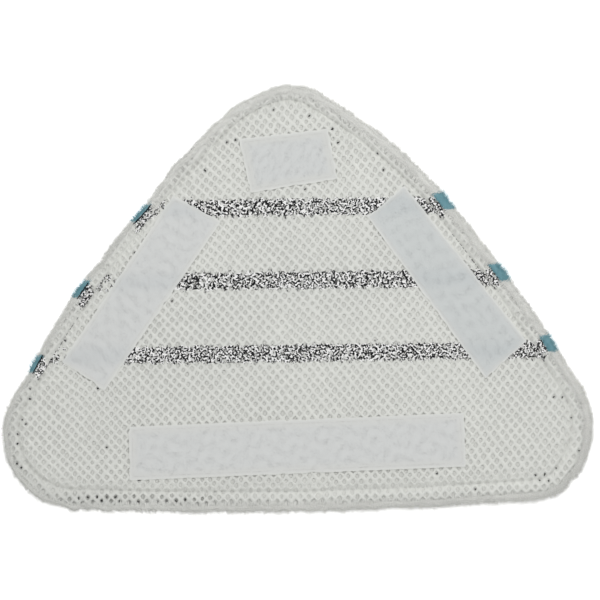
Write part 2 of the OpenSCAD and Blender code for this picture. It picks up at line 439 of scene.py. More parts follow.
def feed(tree, socket, value):
    """Links a socket to another one, or sets it to a number or a colour."""
    if isinstance(value, bpy.types.NodeSocket):
        tree.links.new(value, socket)
    else:
        socket.default_value = (*value, 1) if isinstance(value, tuple) else value


def node(tree, kind, **values):
    """A node with these properties and inputs."""
    n = tree.nodes.new(kind)
    for key, value in values.items():
        if hasattr(n, key):
            setattr(n, key, value)
        else:
            feed(tree, n.inputs[key], value)
    return n


def noise_node(tree, point, scale, detail):
    return node(tree, "ShaderNodeTexNoise", Vector=point, Scale=scale, Detail=detail).outputs["Fac"]


def ramp(tree, value, stops):
    """Colour by a value, from stops of a position with a colour or a grey."""
    n = node(tree, "ShaderNodeValToRGB", Fac=value)
    while len(n.color_ramp.elements) < len(stops):
        n.color_ramp.elements.new(0.5)
    for e, (at, colour) in zip(n.color_ramp.elements, stops):
        e.position = at
        e.color = (*(colour if isinstance(colour, tuple) else (colour,) * 3), 1)
    return n.outputs["Color"]


def mottle(tree, point, scale, detail, *stops):
    return ramp(tree, noise_node(tree, point, scale, detail), stops)


def point_value(tree, name):
    """A value that the mesh holds for each of its points."""
    return node(tree, "ShaderNodeAttribute", attribute_name=name).outputs["Fac"]


def mix(tree, factor, a, b, blend="MIX"):
    n = node(tree, "ShaderNodeMix", data_type="RGBA", blend_type=blend, Factor=factor)
    feed(tree, n.inputs[6], a)
    feed(tree, n.inputs[7], b)
    return n.outputs[2]


def math_node(tree, operation, *values):
    n = node(tree, "ShaderNodeMath", operation=operation)
    for socket, value in zip(n.inputs, values):
        feed(tree, socket, value)
    return n.outputs[0]


def waves(tree, point, direction, scale, distortion, detail):
    n = node(tree, "ShaderNodeTexWave", bands_direction=direction, Vector=point,
             Scale=scale, Distortion=distortion, Detail=detail)
    return n.outputs["Fac"]


def finish_material(tree, shader, colour, height, distance, strength):
    """Gives the shader its colour, and bumps of this height."""
    feed(tree, shader.inputs["Base Color"], colour)
    n = node(tree, "ShaderNodeBump", Strength=strength, Distance=distance, Height=height)
    feed(tree, shader.inputs["Normal"], n.outputs["Normal"])


def stripe_mask(tree, point, limits, soft, ragged):
    """1 where the cloth under a point is one of the grey stripes, with a ragged edge."""
    across = point_value(tree, "across")
    wobble = math_node(tree, "SUBTRACT", noise_node(tree, point, 420, 3.0), 0.5)
    across = math_node(tree, "MULTIPLY_ADD", wobble, 4 * ragged, across)
    total = None
    for low, high in limits:
        off = math_node(tree, "ABSOLUTE", math_node(tree, "SUBTRACT", across, (low + high) / 2))
        inside = math_node(tree, "SUBTRACT", (high - low) / 2, off)
        level = math_node(tree, "MULTIPLY_ADD", inside, 0.5 / soft, 0.5)
        level = math_node(tree, "MINIMUM", math_node(tree, "MAXIMUM", level, 0.0), 1.0)
        total = level if total is None else math_node(tree, "MAXIMUM", total, level)
    return total


def pile_material(name, light, dark, heart, sheen):
    m, tree, shader, p = new_material(name, 0.92, sheen, 0.15)
    tone = mottle(tree, p, 260, 3.0, (0.32, dark), (0.66, light))
    # Painted light and shade: the core takes the duller heart colour and the fibres the brighter one,
    # evening out the shade that falls among the fibres
    tone = mix(tree, point_value(tree, "fluff"), heart, tone)
    broad = mottle(tree, p, 28, 1.0, (0.3, 0.95), (0.7, 1))
    tone = mix(tree, 1.0, tone, broad, "MULTIPLY")
    finish_material(tree, shader, tone, noise_node(tree, p, 2600, 2.0), 0.00012, 0.6)
    return m


FLECK_SCALE = 980              # the same flecks in the grey yarn and in the yarn that lies over the net


def net_material():
    m, tree, shader, p = new_material("net_yarn", 0.62, 0.15, 0.25)
    tone = mottle(tree, p, 330, 3.0, (0.3, (0.765, 0.775, 0.735)), (0.7, (0.825, 0.835, 0.79)))
    broad = mottle(tree, p, 14, 1.0, (0.3, (0.965, 0.965, 0.97)), (0.7, 1))
    tone = mix(tree, 1.0, tone, broad, "MULTIPLY")
    # Painted shade: the net is darkened over the hem, most round the wide end's left corner
    tone = mix(tree, point_value(tree, "dim"), (0, 0, 0), tone)
    over = stripe_mask(tree, p, stripe_limits, 0.5, 1.5)
    over = math_node(tree, "MULTIPLY", over, math_node(tree, "SUBTRACT", 1.0, point_value(tree, "clear")))
    fleck = mottle(tree, p, FLECK_SCALE, 0.0, (0.50, (0.006, 0.006, 0.008)), (0.505, (0.99, 0.99, 0.98)))
    wales = waves(tree, p, "DIAGONAL", 620.0, 3.0, 1.0)
    finish_material(tree, shader, mix(tree, over, tone, fleck), wales, 0.00010, 0.5)
    return m


def ground_material():
    m, tree, shader, p = new_material("ground_knit", 0.9, 0.1, 0.15)
    # The knit is toned darker than the net, partly its own greyer white and partly painted shade for the
    # net's holes, where it shows
    tone = mottle(tree, p, 700, 3.0, (0.3, (0.72, 0.725, 0.69)), (0.7, (0.785, 0.79, 0.755)))
    broad = mottle(tree, p, 18, 1.0, (0.38, 0.94), (0.62, 1.04))
    tone = mix(tree, 1.0, tone, broad, "MULTIPLY")
    finish_material(tree, shader, tone, waves(tree, p, "X", 300.0, 2.0, 2.0), 0.00025, 0.7)
    return m


def yarn_material(name, sheen, specular, scale, detail, *stops):
    m, tree, shader, p = new_material(name, 0.85, sheen, specular)
    tone = mottle(tree, p, scale, detail, *stops)
    finish_material(tree, shader, tone, noise_node(tree, p, 3000, 1.0), 0.0001, 0.5)
    return m


def tape_material(name, brushed, border):
    m, tree, shader, p = new_material(name, 0.8, 0.2, 0.2)
    grain = mottle(tree, p, 420, 4.0, (0.3, 0.985), (0.7, 1))
    tone = mix(tree, 1.0, mix(tree, point_value(tree, "brushed"), border, brushed), grain, "MULTIPLY")
    # Painted highlight: the tape is painted lighter along its cut edge
    tone = mix(tree, point_value(tree, "edge"), tone, (0.81, 0.82, 0.79))
    # The stripes show faintly through the tape
    under = stripe_mask(tree, p, stripe_limits, 2.5, 0.6)
    shade = mix(tree, math_node(tree, "MULTIPLY", under, 0.3), (1, 1, 1), (0.80, 0.83, 0.86))
    tone = mix(tree, 1.0, tone, shade, "MULTIPLY")
    finish_material(tree, shader, tone, noise_node(tree, p, 2200, 2.0), 0.00015, 0.7)
    return m


def thread_material():
    m, tree, shader, p = new_material("sewing_thread", 0.5, 0.1, 0.35)
    twist = waves(tree, p, "DIAGONAL", 1500.0, 1.0, 2.0)
    tone = ramp(tree, twist, [(0.2, (0.62, 0.62, 0.60)), (0.8, (0.76, 0.76, 0.74))])
    finish_material(tree, shader, tone, twist, 0.00005, 0.6)
    return m


# The white pile's third colour is its core's, painted duller than the fibres as painted shade
MAT_WHITE = pile_material(
    "white_microfibre", (0.97, 0.975, 0.935), (0.94, 0.945, 0.905), (0.78, 0.785, 0.75), 0.15
)
MAT_TEAL = pile_material("teal_microfibre", (0.27, 0.50, 0.56), (0.17, 0.38, 0.44), (0.22, 0.43, 0.49), 0.1)
MAT_NET = net_material()
MAT_GROUND = ground_material()
MAT_YARN = yarn_material(
    "grey_yarn", 0.05, 0.2, FLECK_SCALE, 0.0,
    (0.50, (0.004, 0.004, 0.006)), (0.56, (0.010, 0.011, 0.013)), (0.565, (0.95, 0.96, 0.96)),
)
# The four tapes are one cloth. Their tones differ from patch to patch as painted light and shade, set to
# how brightly each patch comes out under the lamp
MAT_TAPES = {
    "tip": tape_material("tip_tape", (0.71, 0.727, 0.72), (0.722, 0.732, 0.708)),
    "left": tape_material("left_tape", (0.73, 0.744, 0.735), (0.742, 0.75, 0.725)),
    "right": tape_material("right_tape", (0.675, 0.702, 0.697), (0.70, 0.715, 0.70)),
    "base": tape_material("base_tape", (0.745, 0.759, 0.75), (0.75, 0.758, 0.737)),
}
MAT_THREAD = thread_material()
# Near-black bits: partly grey yarn, partly painted shade in deep holes and in the seam
MAT_STRAY_AND_SHADE = yarn_material(
    "stray_yarn_and_painted_shade", 0.0, 0.1, 900, 2.0, (0.3, (0.006, 0.006, 0.008)), (0.7, (0.03, 0.03, 0.034))
)


# ---------------- pile
# The rim's core, as inset and height, from under the net's edge round to the floor side
CORE = [
    (9.0, 5.5), (5.2, 5.5), (5.0, 6.8), (4.85, 7.6), (4.5, 7.9), (3.9, 7.95), (3.1, 7.9), (2.5, 7.65),
    (2.0, 7.1), (1.75, 6.3), (1.8, 5.3), (2.15, 4.2), (2.6, 3.0), (3.2, 2.2), (4.2, 1.8), (9.0, 1.7),
]
core_path = np.array(CORE)
core_run = np.concatenate([[0], np.cumsum(np.linalg.norm(np.diff(core_path, axis=0), axis=1))])


def core_at(t):
    """Point and outward normal on the core's section, at distance t from its first point."""
    def point(t):
        return np.stack([np.interp(t, core_run, core_path[:, k]) for k in range(2)], -1)

    d = unit(point(t + 0.5) - point(t - 0.5))
    return point(t), np.stack([d[..., 1], -d[..., 0]], -1)


def rim_inset(along, inset):
    """The rim's section follows the wavy edge and the local rim width, and reaches further
    everywhere but at the wide end."""
    fade = np.clip((9 - inset) / 6, 0, 1)
    reach = 0.7 * step(np.abs(away(along, LUMPY)) - LUMPY_REACH, 0, 30) * np.clip((4.3 - inset) / 2, 0, 1)
    inner = np.clip((inset - 1.4) / 3, 0, 1)
    wide = (at_loop(rim, along) - CORE_RIM) * inner - bulge(along) * (1 - inner)
    return inset - reach + (wide - wave(along)) * fade


def core_parts(limits, closed_count=720):
    """The solid heart of one zone of pile, cut between its two slanted lines."""
    along = np.arange(closed_count) * perimeter / closed_count
    full = np.ones(closed_count)
    rows = [place(along, rim_inset(along, inset * full), z * full) for inset, z in CORE]
    bm = bmesh.new()
    rings = [[bm.verts.new(p) for p in row] for row in rows]
    for a, b in zip(rings, rings[1:]):
        for k in range(closed_count):
            j = (k + 1) % closed_count
            bm.faces.new((a[k], a[j], b[j], b[k]))
    bm.faces.new(rings[0][::-1])
    bm.faces.new(rings[-1])
    lean = SLANT + atan(RIM_SHEAR)
    normal = (-sin(lean), cos(lean), 0)
    for limit, sign in ((limits[0], -1), (limits[1], 1)):
        if abs(limit) > 500:
            continue
        co = tuple(c * limit for c in normal)
        cut = bmesh.ops.bisect_plane(
            bm, geom=bm.verts[:] + bm.edges[:] + bm.faces[:], plane_co=co,
            plane_no=tuple(sign * c for c in normal), clear_outer=True,
        )
        edges = [g for g in cut["geom_cut"] if isinstance(g, bmesh.types.BMEdge)]
        bmesh.ops.edgenet_fill(bm, edges=edges)
    bmesh.ops.recalc_face_normals(bm, faces=bm.faces[:])
    bmesh.ops.triangulate(bm, faces=[f for f in bm.faces if len(f.verts) > 4])
    bm.verts.index_update()
    verts = np.array([v.co for v in bm.verts])
    faces = [
        np.array([[v.index for v in f.verts] for f in bm.faces if len(f.verts) == n]).reshape(-1, n)
        for n in (3, 4)
    ]
    bm.free()
    return verts, faces


RIM_DENSITY = 8.0              # rim fibres on each square millimetre
RIM_START, RIM_END = 6.0, 13.5


def rim_fibres():
    """The fibres all round the rim: paths, radii, which way they face, their place across the stripes,
    and how far each belongs to the rim's top."""
    rng = np.random.default_rng(41)
    n = int(perimeter * (RIM_END - RIM_START) * RIM_DENSITY)
    along = rng.uniform(0, perimeter, n)
    t = rng.uniform(RIM_START, RIM_END, n)
    q, out = core_at(t)
    top = step(8.0 - t, 0, 1.8)                # 1 on the side next to the net, 0 outside
    loose = (0.3 + 3.0 * (1 - rng.uniform(0, 1, n) ** 0.5)) * np.clip((q[:, 1] - 4.8) / 1.7, 0.25, 1)
    length = loose * (1 - top) + (0.25 + 0.10 * np.abs(rng.normal(0, 1, n))) * top
    spread_s = (0.25 + 0.3 * length) * rng.normal(0, 1, n)
    droop = step(t, 7.4, 8.4) * step(12 - t, 0, 1.5)
    spread_t = (0.15 + 0.2 * length) * rng.normal(0, 1, n) + 0.6 * length * droop
    over = top * (1 - 0.6 * bare(along)) * np.clip(2.0 + 0.8 * rng.normal(0, 1, n), 0.3, 3.8)
    start = place(along, rim_inset(along, q[:, 0]), q[:, 1])
    across = pile_slanted(*start[:, :2].T) + 0.5 * rng.normal(0, 1, n)
    over = np.where(in_stripe(across), 0.25 * over, over)
    cover = 0.06 + 0.16 * rng.uniform(0, 1, n)
    paths = []
    for k in (0, 0.5, 1.0):
        bend = k * k
        lean = k * top + bend * (1 - top)
        s = along + spread_s * bend
        inset = q[:, 0] + out[:, 0] * (length * k - 0.15) - out[:, 1] * spread_t * bend + over * lean
        z = q[:, 1] + out[:, 1] * (length * k - 0.15) + out[:, 0] * spread_t * bend
        inset = rim_inset(s, inset)
        p = place(s, inset, np.clip(z, 0.05, 8.75))
        if k:
            fold = at_loop(rim, s) + 0.5
            on_net = net_under(p[:, 0], p[:, 1], np.maximum(inset, fold), s) + NET_T + cover
            p[:, 2] = np.where(top > 0.3, np.maximum(p[:, 2], on_net), p[:, 2])
        paths.append(p)
    paths = np.stack(paths, 1)
    radii = np.array([0.10, 0.09, 0.045]) + np.array([0.03, 0.04, 0.025]) * top[:, None]
    radii = radii * rng.uniform(0.8, 1.2, (n, 1))
    facing = np.column_stack([at_loop(inward, along) * (out[:, :1] * (1 - top)[:, None]), out[:, 1] + 8])
    return paths, radii, unit(facing), across, top


rim_paths, rim_radii, rim_facing, rim_across, rim_top = rim_fibres()


def staggered(xs, ys, pitch, loose, rng):
    """Points of a grid, every other row half a pitch along, each a little out of its place."""
    gx, gy = np.meshgrid(xs, ys)
    x = (gx + (np.arange(len(ys)) % 2)[:, None] * pitch / 2).ravel()
    return x + rng.normal(0, loose[0], x.size), gy.ravel() + rng.normal(0, loose[1], x.size)


def under_tufts(limits, coarse, seed):
    """The tufts on the floor side of one zone: tapered for the soft pile, looped for the scrub stripes."""
    rng = np.random.default_rng(seed)
    pitch = 1.95 if coarse else 2.25
    xs = np.arange(-160, 160, pitch)
    low, high = max(limits[0], -120), min(limits[1], 120)
    ys = np.arange(low + pitch / 2, high - pitch / 3, pitch)
    x, v = staggered(xs, ys, pitch, (0.22, 0.22), rng)
    v = np.clip(v, low + 0.5, high - 0.5)
    y = (v + (sin(SLANT) + RIM_SHEAR) * x) / cos(SLANT)
    inset, _ = locate(x, y)
    keep = inset > TUFT_START
    x, y = x[keep], y[keep]
    n = len(x)
    nap = [0.9 * plane_noise(k, 8, 30)(x, y)[:, None] for k in (51, 52)]
    if coarse:
        turn = rng.uniform(0, pi, n)
        k = np.linspace(-1, 1, 7)
        fall = 1 - np.abs(k) ** 2.2
        z = 2.0 - (1.52 + 0.1 * rng.normal(0, 1, n))[:, None] * fall
        sway = [0.4 * lean * fall for lean in nap]
        return bits(x, y, turn, 0.75, np.sin(k * pi / 2), np.maximum(z, 0.45), 0.42, 5, sway)
    k = np.linspace(0, 1, 4)
    z = 1.9 - (1.7 + 0.12 * rng.normal(0, 1, n))[:, None] * np.sin(k * 1.5)
    radius = np.tile([0.95, 1.0, 0.72, 0.25], (n, 1))
    sway = [lean * k ** 2 for lean in nap]
    return bits(x, y, np.zeros(n), 0, k, np.maximum(z, radius + 0.03), radius, 5, sway)


def pile_piece(name, material, slot, coarse, seed):
    limits = zone_limits[name]
    mine = (rim_across >= limits[0]) & (rim_across < limits[1])
    parts = [
        core_parts(limits),
        tubes(rim_paths[mine], rim_radii[mine], 3, rim_facing[mine]),
        under_tufts(limits, coarse, seed),
    ]
    # Painted light and shade: the core is painted dullest and the loose fibres at the edge brightest,
    # evening out the shade among the fibres
    fluff = np.concatenate([
        np.zeros(len(parts[0][0])), np.repeat(1 - 0.3 * rim_top[mine], 9), np.full(len(parts[2][0]), 0.7),
    ])
    return mesh_piece(f"{name}_tufts", parts, material, slot, [name], fluff=fluff)


pile = [pile_piece(name, MAT_WHITE, "white_pile", False, 60 + i) for i, name in enumerate(WHITE_PILE)]
pile += [pile_piece(name, MAT_TEAL, "teal_pile", True, 70 + i) for i, name in enumerate(TEAL_PILE)]


# ---------------- ground cloth
def ground_top(x, y, inset, along):
    """Top of the ground cloth, with its turned margin inside the hem."""
    under = net_under(x, y, inset, along)
    g, r = at_loop(groove, along), at_loop(rim, along)
    margin = 7.5 - 0.8 * pitted(along) + 0.05 * pucker(along) + lift(x, y) * step(inset, 3, 12)
    level = np.where(inset < g - 0.9, np.minimum(under + PRESS, margin), under + PRESS)
    return level - 0.25 * np.clip((r + 0.55 - inset) / 0.45, 0, 1) ** 2


def ground_piece():
    n = 540
    along = np.arange(n) * perimeter / n
    r, g = at_loop(rim, along), at_loop(groove, along)
    centre = np.array([c.mean() for c in outline.T])
    shares = (0.0, 0.03, 0.07, 0.12, 0.2, 0.35, 0.5, 0.65, 0.78, 0.88, 0.95, 1.0)
    rows = [flat_place(along, r + 0.1 + (g - r - 0.1) * a) for a in shares]
    rows += [flat_place(along, g + extra) for extra in (0.5, 1.0, 1.8, 3.0, 5.0)]
    rows += [centre + (rows[-1] - centre) * f for f in np.linspace(1, 0.02, 44)[1:]]
    flat = np.concatenate(rows)
    top = ground_top(*flat.T, *locate(*flat.T))
    verts = two_sided(*flat.T, top, GROUND_UNDER)
    index = np.arange(len(flat)).reshape(-1, n)
    low = index + len(flat)
    faces = [
        grid_faces(index, True)[:, ::-1], grid_faces(low, True),
        grid_faces(np.stack([index[0], low[0]]), True),
        index[-1][None, ::-1], low[-1][None],
    ]
    return mesh_piece("ground_cloth", [(verts, faces)], MAT_GROUND, "ground_knit", ["pile_ground_cloth"])


ground = ground_piece()


def cloth_across(x, y):
    """Place across the stripes of the cloth that shows at a point, with its inset and place along.
    Inside the hem it is the cloth's turned margin that shows."""
    inset, where = locate(x, y)
    fold, g = at_loop(rim, where) + 0.2, at_loop(groove, where)
    turned = inset < g - 0.4
    back = np.where(turned, 2 * (inset - fold), 0)[:, None] * at_loop(inward, where)
    shear = np.where(turned, RIM_SHEAR, 0) * x
    return slanted(x - back[:, 0], y - back[:, 1]) - shear, inset, where


patchy = plane_noise(79, 3, 8, 24)


def sparse(x, y, inset, where):
    """1 between the groove and the left patch, where hardly any grey yarn shows."""
    beyond = step(inset - at_loop(groove, where), 0, 1.2)
    return beyond * step(-x - 45, 0, 10) * step(16 - inset, 0, 2) * step(patchy(x, y), -0.9, -0.3)


def backing_piece(name, limits, seed):
    """A stripe's grey yarn, as rows of small loops that lie on the ground cloth."""
    rng = np.random.default_rng(seed)
    pitch_x, pitch_y = 1.16, 1.0
    low, high = limits
    xs, ys = np.arange(-156, 156, pitch_x), np.arange(low - 12, high + 4, pitch_y)
    x, v = staggered(xs, ys, pitch_x, (0.16, 0.14), rng)
    y = v * cos(SLANT) + x * sin(SLANT)
    across, inset, where = cloth_across(x, y)
    ragged = plane_noise(seed + 5, 3, 9, 24)
    depth = np.minimum(across - low, high - across) + 0.45 * ragged(x, v)
    chance = np.interp(depth, [-1.4, -0.5, 0.3, 1.2, 3], [0.0, 0.10, 0.62, 0.88, 0.93])
    chance = chance * (1 - 0.95 * sparse(x, y, inset, where))
    keep = (rng.uniform(0, 1, len(x)) < chance) & (inset > at_loop(rim, where) + 0.5)
    x, y, inset, where = x[keep], y[keep], inset[keep], where[keep]
    base = ground_top(x, y, inset, where)
    n = len(x)
    turn = rng.normal(pi / 2, 0.5, n)
    k = np.linspace(-1, 1, 5)
    reach = 0.62 + 0.12 * rng.normal(0, 1, n)
    loops = bits(x, y, turn, reach, k, base[:, None] - 0.12 + 0.20 * (1 - k ** 2), 0.27, 4)
    return mesh_piece(f"{name}_yarn", [loops, loose_ends(x, y, 0.5, rng)], MAT_YARN, "grey_yarn", [name])


def loose_ends(x, y, share, rng):
    """Short loose ends of grey yarn that come up through the net near these points."""
    m = int(len(x) * share)
    outward = 1.6 * rng.uniform(0, 1, m) ** 2
    pick = rng.integers(0, len(x), m)
    fx, fy = x[pick] + rng.normal(0, 0.45, m), y[pick] + rng.normal(0, 0.45, m)
    inset, where = locate(fx, fy)
    at_edge = step(at_loop(rim, where) + 2.5 - inset, 0, 1)
    shift = -at_loop(inward, where) * (outward * at_edge)[:, None]
    fx, fy, inset = fx + shift[:, 0], fy + shift[:, 1], inset - outward * at_edge
    top = net_under(fx, fy, inset, where) + NET_T + 0.22 * at_edge
    heading = rng.uniform(0, 2 * pi, m)
    size = rng.uniform(0.3, 0.8, m)
    z = top[:, None] + np.array([-0.9, 0.0, 0.14, -0.08])[None] + 0.05 * rng.normal(0, 1, (m, 1))
    return bits(fx, fy, heading, size, np.linspace(0, 1, 4), z, 0.14, 3)


backings = [
    backing_piece(name, limits, 80 + i) for i, (name, limits) in enumerate(zip(BACKINGS, stripe_limits))
]


# ---------------- net
warp_x, warp_y = plane_noise(91, 45, 110, 10), plane_noise(92, 45, 110, 10)
warp_fine_x, warp_fine_y = plane_noise(93, 14, 34, 12), plane_noise(94, 14, 34, 12)


def lattice(i, j):
    """Place of lattice point (i, j): holes where i + j is even, knots where it is odd.
    The net was sewn on slightly askew, so its rows rise to the right and spread a little."""
    x = HOLE_X * i - 0.10 * j - 0.0021 * j * j - 0.0006 * i * i
    y = 0.21 * i + HOLE_Y * j + 0.0031 * i * j
    return (
        x + 0.35 * warp_x(x, y) + 0.16 * warp_fine_x(x, y),
        y + 0.35 * warp_y(x, y) + 0.16 * warp_fine_y(x, y),
    )


LAT = 84
ii, jj = np.meshgrid(np.arange(-LAT, LAT + 1), np.arange(-LAT, LAT + 1), indexing="ij")
lat_x, lat_y = lattice(ii, jj)
net_rng = np.random.default_rng(95)
lattice_xy = np.stack([lat_x, lat_y], -1) + net_rng.normal(0, 0.19, (*ii.shape, 2))


def net_cells():
    """The holes that are kept, and how far in each lies."""
    even = (ii + jj) % 2 == 0
    inner = (np.abs(ii) < LAT - 1) & (np.abs(jj) < LAT - 1)
    box = (np.abs(lattice_xy[..., 0]) < 162) & (np.abs(lattice_xy[..., 1]) < 120)
    i, j = np.nonzero(even & inner & box)
    p = lattice_xy[i, j]
    inset, where = locate(*p.T)
    keep = inset > at_loop(rim, where) - 1.2
    return i[keep], j[keep], inset[keep] - at_loop(groove, where[keep])


def whole(values):
    """Lengths as whole numbers of 5 micrometres, so that equal places compare as equal."""
    return np.round(values * 200).astype(np.int64)


def flat_net(i, j):
    """The net's cells on the flat: x, y and height in the net, and quads."""
    k, n = lattice_xy, len(i)
    corners = np.stack([k[i + 1, j], k[i, j + 1], k[i - 1, j], k[i, j - 1]], 1)
    ring = np.stack([corners, (corners + np.roll(corners, -1, 1)) / 2], 2).reshape(n, 8, 2)
    centre = k[i, j][:, None]
    rng = np.random.default_rng(96)
    size = 1 + 0.13 * rng.normal(0, 1, n)
    angle = np.arctan2(ring[..., 1] - centre[..., 1], ring[..., 0] - centre[..., 0])
    rx, ry = 0.84 * size[:, None], 1.16 * size[:, None]
    radius = 1 / np.sqrt((np.cos(angle) / rx) ** 2 + (np.sin(angle) / ry) ** 2)
    hole = centre + np.stack([np.cos(angle), np.sin(angle)], -1) * radius[..., None]
    # The yarn's rounded section, from its crown down to the hole's edge, and its flat underside:
    # how far from the hole's edge to the crown, and how high
    section = [(1, NET_T + np.array([0.08, 0.0] * 4)), (0.60, 0.74), (0.26, 0.52), (0, 0.18), (1, 0.0)]
    layers = [
        np.dstack([ring if far == 1 else hole + (ring - hole) * far, np.broadcast_to(high, (n, 8))])
        for far, high in section
    ]
    verts = np.stack(layers, 1)                      # cell, layer, ring point, xyz
    index = np.arange(n * 40).reshape(n, 5, 8)
    nxt = np.roll(index, -1, 2)
    quads = np.concatenate([
        np.stack([index[:, a], nxt[:, a], nxt[:, a + 1], index[:, a + 1]], -1).reshape(-1, 4)
        for a in range(4)
    ])
    verts = verts.reshape(-1, 3)
    # Cells share the points on their common edges
    _, first, back = np.unique(whole(verts), axis=0, return_index=True, return_inverse=True)
    verts, quads = verts[first], back.reshape(-1)[quads]
    edges = np.stack([quads, np.roll(quads, -1, 1)], -1).reshape(-1, 2)
    code = edges[:, 0] * len(verts) + edges[:, 1]
    mirror = edges[:, 1] * len(verts) + edges[:, 0]
    open_edges = edges[~np.isin(code, mirror)]
    top = open_edges[verts[open_edges[:, 0], 2] > 0.5]
    # Along the net's cut edge, walls join the yarn's crown to its underside
    spot = [tuple(k) for k in whole(verts[:, :2])]
    below = {k: n for n, k in enumerate(spot) if verts[n, 2] < 0.1}
    walls = [(b, a, below[spot[a]], below[spot[b]]) for a, b in top]
    return verts, np.vstack([quads, walls])


def drape(verts):
    """Lays the flat net over the pad and folds it down at the hem's edge."""
    x, y, h = verts.T
    inset, where = locate(x, y)
    fold = at_loop(rim, where) + 0.6 - 0.7 * wave(where)
    beyond = fold - inset
    base = net_under(x, y, np.maximum(inset, fold), where)
    g = at_loop(groove, where)
    squeeze = 1 - 0.42 * bell(inset, g, 0.8)
    flat = np.column_stack([x, y, base + h * squeeze])
    arc = FOLD_R * pi / 2
    angle = np.clip(beyond / FOLD_R, 0, pi / 2)
    down = np.maximum(beyond - arc, 0)
    new_inset = fold - (FOLD_R + h) * np.sin(angle)
    z = base - FOLD_R + (FOLD_R + h) * np.cos(angle) - down
    # Below the fold the margin turns in under the net
    z = np.maximum(z, 6.35 + 0.3 * h)
    folded = place(where, new_inset, z)
    return np.where((beyond > 0)[:, None], folded, flat)


HEM_MESH = 3.4                 # how far past the groove the hem's finer mesh reaches
cell_i, cell_j, cell_in = net_cells()
hem_cells = cell_in < HEM_MESH


def net_piece(name, flat, quads):
    x, y, _ = flat.T
    across, inset, where = cloth_across(x, y)
    hem = step(at_loop(groove, where) + 4 - inset, 0, 6)
    # Painted shade over the hem, deepest round the wide end's left corner
    dim = 1 - 0.02 * hem - 0.10 * hem * bell(away(where, PAINTED_SHADE_CORNER), 0, 60)
    return mesh_piece(
        name, [(drape(flat), [quads])], MAT_NET, "white_mesh", ["mesh_back"],
        across=across, dim=dim, clear=sparse(x, y, inset, where),
    )


net_field = net_piece("mesh_net_field", *flat_net(cell_i[~hem_cells], cell_j[~hem_cells]))
net_hem = net_piece("mesh_net_hem", *split_quads(*flat_net(cell_i[hem_cells], cell_j[hem_cells])))

# Near-black bits in the net's holes, and a row of them where the hem is slack: partly grey yarn caught
# there, partly painted shade put where the holes run deep
STRAY_AND_SHADE_SPOTS = [
    (-145, -49), (-143, -54), (-147, -65), (-145, -68), (-156, -71), (-153, -74), (-150, -79),
    (-153, -88), (-149, -92), (-127, -108), (-85, -99), (-103, -78), (-110, -49), (-125, -21),
    (-102, 11), (-90, 25), (-72, 50), (-70, -1), (-99, -38), (138, -52), (142, -52), (149, -65),
    (152, -79), (151, -84), (140, -93), (128, -94), (131, -97), (134, -95), (135, -99), (74, -93),
    (97, -103), (-14, 103), (4, 98), (20, 91), (21, 86), (42, 78), (47, 71), (-39, 86), (-33, 85),
    (-49, 71), (6, 60),
]
STRAY_AND_SHADE_ROW_Y, STRAY_AND_SHADE_ROW_X = -108.3, (-123, -52)
# Where the needle pulled yarn up into the seam, the bits also standing in for the seam's shade as painted
# shade: from, to, and how many bits
SEAM_RUNS = [((80, 34), (100, 12), 15), ((-128, -27), (-117, -11), 8)]


def bits_along(at, half, inset_at, height, radius):
    """Bits of yarn that run round the pad, this high above the net's underside."""
    path = []
    for f in (-1, 0, 1):
        s = at + f * half
        inset = inset_at(s)
        x, y = flat_place(s, inset).T
        path.append(np.stack([x, y, net_under(x, y, inset, s) + height], 1))
    return tubes(np.stack(path, 1), radius, 4)


def stray_yarn_and_shade():
    rng = np.random.default_rng(97)
    holes = lattice_xy[cell_i, cell_j]
    in_row = np.abs(holes[:, 1] - STRAY_AND_SHADE_ROW_Y) < 1.4
    in_row &= (holes[:, 0] > STRAY_AND_SHADE_ROW_X[0]) & (holes[:, 0] < STRAY_AND_SHADE_ROW_X[1])
    in_row &= rng.uniform(0, 1, len(holes)) < 0.85
    single = ((np.array(STRAY_AND_SHADE_SPOTS, float)[:, None] - holes[None]) ** 2).sum(2).argmin(1)
    spots = np.unique(np.concatenate([single, np.nonzero(in_row)[0]]))
    x, y = (np.repeat(holes[spots], 3, 0) + rng.normal(0, 0.20, (3 * len(spots), 2))).T
    base = ground_top(x, y, *locate(x, y))
    turn = rng.uniform(0, pi, len(x))
    reach = rng.uniform(0.15, 0.40, len(x))
    k = np.linspace(-1, 1, 4)
    caught_and_shade = bits(x, y, turn, reach, k, base[:, None] + 0.12 + 0.14 * (1 - k ** 2), 0.24, 4)
    runs = []
    for start, end, count in SEAM_RUNS:
        start = along_at(*start)
        span = away(along_at(*end), start)
        runs.append(start + span * (np.arange(count) + rng.uniform(0.1, 0.9, count)) / count)
    run = np.concatenate(runs)
    half = rng.uniform(0.3, 0.9, len(run))
    seam = bits_along(run, half, lambda s: at_loop(groove, s) + 0.25, 0.58 * NET_T + 0.10, 0.13)
    # Yarn that lies along the net's folded edge, where the stripes cross it at the left
    edge = np.arange(0, perimeter, 0.30)
    x, y = flat_place(edge, at_loop(rim, edge) + 0.8).T
    crossing = in_stripe(cloth_across(x, y)[0]) & (x < -60)
    edge = edge[crossing & (rng.uniform(0, 1, len(edge)) < 0.6)]
    half = rng.uniform(0.4, 1.1, len(edge))
    inset = at_loop(rim, edge) + 0.6 + 0.5 * rng.uniform(0, 1, len(edge))
    folded = bits_along(edge, half, lambda s: inset, NET_T + 0.34, 0.20)
    return mesh_piece("stray_yarn_and_painted_shade_bits", [caught_and_shade, seam, folded], MAT_STRAY_AND_SHADE, "grey_yarn")


strays_and_shade = stray_yarn_and_shade()


